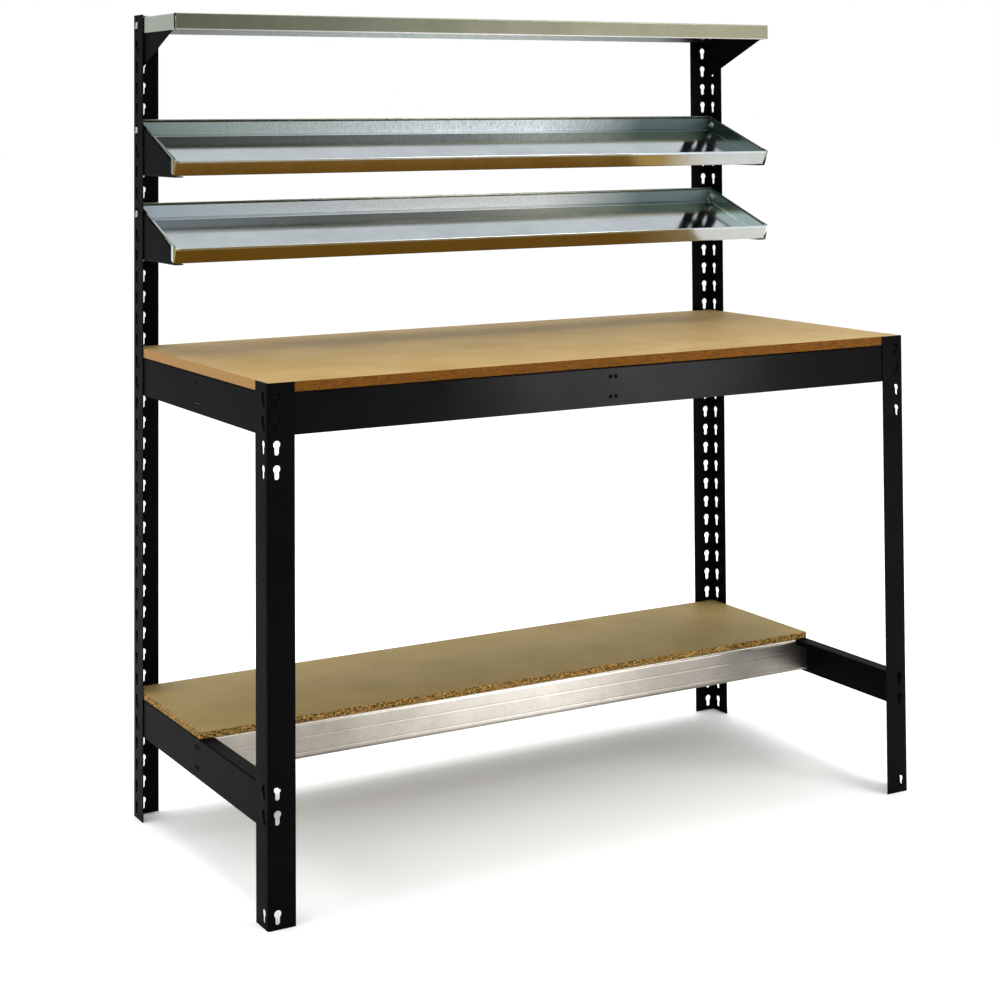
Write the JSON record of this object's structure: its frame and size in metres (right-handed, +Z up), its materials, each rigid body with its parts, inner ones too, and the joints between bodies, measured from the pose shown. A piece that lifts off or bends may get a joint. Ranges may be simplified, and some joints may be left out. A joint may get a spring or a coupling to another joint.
{
  "type": "workbench",
  "caption": "Boltless steel workbench with a board worktop, a half-depth lower shelf, two tilted parts trays and a top shelf on keyhole uprights.",
  "frame": {"origin": "on the floor under the middle of the bench", "axes": "+X along the bench, from left to right as seen from the front, +Y from its front to its back, +Z up"},
  "size_m": [1.2926, 0.614, 1.444],
  "materials": {
    "black_powder_coat": "black powder coat, low sheen",
    "galvanised_sheet": "galvanised sheet with a dull silver sheen",
    "worktop_board": "smooth faced board, satin",
    "shelf_board": "raw chipboard, matt",
    "zinc_plating": "bright zinc plating"
  },
  "bodies": {
    "root": {"rear_left_upright": "black_powder_coat", "rear_right_upright": "black_powder_coat", "front_left_leg": "black_powder_coat", "front_right_leg": "black_powder_coat", "worktop_front_beam": "black_powder_coat", "worktop_rear_beam": "black_powder_coat", "worktop_left_beam": "black_powder_coat", "worktop_right_beam": "black_powder_coat", "worktop_beam_studs": "black_powder_coat", "lower_rear_beam": "black_powder_coat", "lower_left_beam": "black_powder_coat", "lower_right_beam": "black_powder_coat", "lower_beam_studs": "black_powder_coat", "lower_front_rail": "galvanised_sheet", "worktop_cross_bar": "galvanised_sheet", "top_shelf": "galvanised_sheet", "upper_tray": "galvanised_sheet", "lower_tray": "galvanised_sheet", "lower_rail_rivets": "black_powder_coat", "cross_bar_rivets": "black_powder_coat", "worktop_board": "worktop_board", "lower_shelf_board": "shelf_board", "top_shelf_left_bracket": "black_powder_coat", "top_shelf_right_bracket": "black_powder_coat", "top_shelf_bolts": "zinc_plating", "top_shelf_nuts": "zinc_plating", "upper_tray_left_bracket": "black_powder_coat", "upper_tray_right_bracket": "black_powder_coat", "upper_tray_bolts": "zinc_plating", "upper_tray_nuts": "zinc_plating", "lower_tray_left_bracket": "black_powder_coat", "lower_tray_right_bracket": "black_powder_coat", "lower_tray_bolts": "zinc_plating", "lower_tray_nuts": "zinc_plating", "bracket_studs": "black_powder_coat"}
  },
  "joints": []
}
